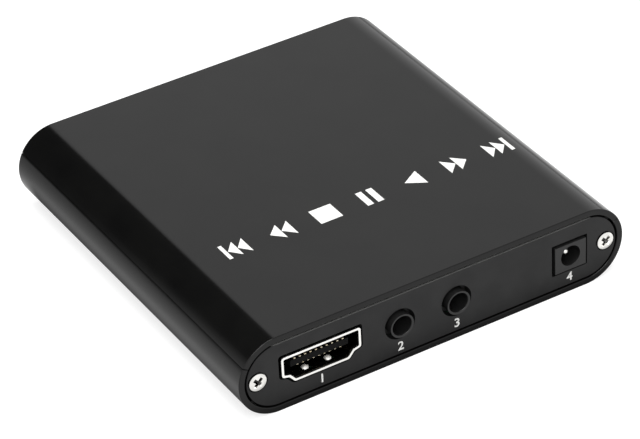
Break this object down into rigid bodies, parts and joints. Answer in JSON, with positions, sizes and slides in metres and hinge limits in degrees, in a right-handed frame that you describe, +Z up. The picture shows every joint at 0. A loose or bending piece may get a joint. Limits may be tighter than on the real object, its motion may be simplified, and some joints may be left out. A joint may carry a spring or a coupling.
{
  "type": "media player",
  "caption": "Palm-sized media player in an extruded shell with rounded sides, rear video, jack and power sockets, and front card and memory-stick sockets.",
  "frame": {"origin": "middle of the housing in plan, on the surface it rests on", "axes": "+Z up, +Y out of the rear plate with the video, audio and power sockets, -Y out of the front plate, +X to the side of the digital video socket"},
  "size_m": [0.0742, 0.0768, 0.0146],
  "materials": {
    "shell_anodised": "satin black anodised, fine bead-blasted extrusion",
    "plate_anodised": "matt black anodised sheet",
    "screw_nickel": "bright nickel plated",
    "board_laminate": "green solder mask",
    "insulating_film": "translucent film",
    "plated_sheet": "nickel plated sheet steel",
    "black_resin": "moulded resin",
    "white_resin": "moulded resin",
    "gold_contact": "gold flash",
    "tin_contact": "tin plated phosphor bronze",
    "smoked_acrylic": "polished, dark red",
    "lamp_epoxy": "clear blue epoxy",
    "chip_epoxy": "laser-marked epoxy left bare",
    "soft_pad": "soft gap filler",
    "bare_aluminium": "plain",
    "ferrite": "ferrite",
    "ceramic": "ceramic with tinned ends",
    "spring_steel": "bright drawn wire"
  },
  "bodies": {
    "player": {"upper_shell": "shell_anodised", "lower_shell": "shell_anodised", "rear_plate": "plate_anodised", "front_plate": "plate_anodised", "rear_plate_screws": "screw_nickel", "front_plate_screws": "screw_nickel", "insulating_film": "insulating_film", "main_board": "board_laminate", "video_socket_shell": "plated_sheet", "video_socket_insulator": "black_resin", "video_socket_contacts": "gold_contact", "av_jack_body": "black_resin", "av_jack_contacts": "tin_contact", "component_jack_body": "black_resin", "component_jack_contacts": "tin_contact", "power_jack_body": "black_resin", "power_jack_pin": "tin_contact", "power_jack_contacts": "tin_contact", "usb_socket_shell": "plated_sheet", "usb_socket_insulator": "white_resin", "usb_socket_contacts": "gold_contact", "card_socket_base": "black_resin", "card_socket_cover": "plated_sheet", "card_socket_contacts": "gold_contact", "card_ejector_spring": "spring_steel", "ir_receiver": "black_resin", "ir_window": "smoked_acrylic", "power_lamp": "lamp_epoxy", "media_processor": "chip_epoxy", "thermal_pad": "soft_pad", "heat_sink": "bare_aluminium", "memory_chips": "chip_epoxy", "flash_chip": "chip_epoxy", "voltage_regulator": "chip_epoxy", "power_inductors": "ferrite", "electrolytic_capacitors": "bare_aluminium", "crystal": "plated_sheet", "ceramic_capacitors": "ceramic"},
    "card_slider": {"card_slider": "white_resin"},
    "latch_pin": {"card_latch_pin": "spring_steel"}
  },
  "joints": [
    {"name": "card_push", "type": "slide", "parent": "player", "child": "card_slider", "axis": [0, 1, 0], "range_m": [0, 0.003], "stiffness_N_per_m": 150, "springref_m": -0.004, "deforming": ["card_ejector_spring"]},
    {"name": "latch_pin_swing", "type": "hinge", "parent": "player", "child": "latch_pin", "pos_m": [0.01859, -0.02095, 0.0065], "axis": [0, 0, 1], "range_deg": [0, 5.3]}
  ]
}
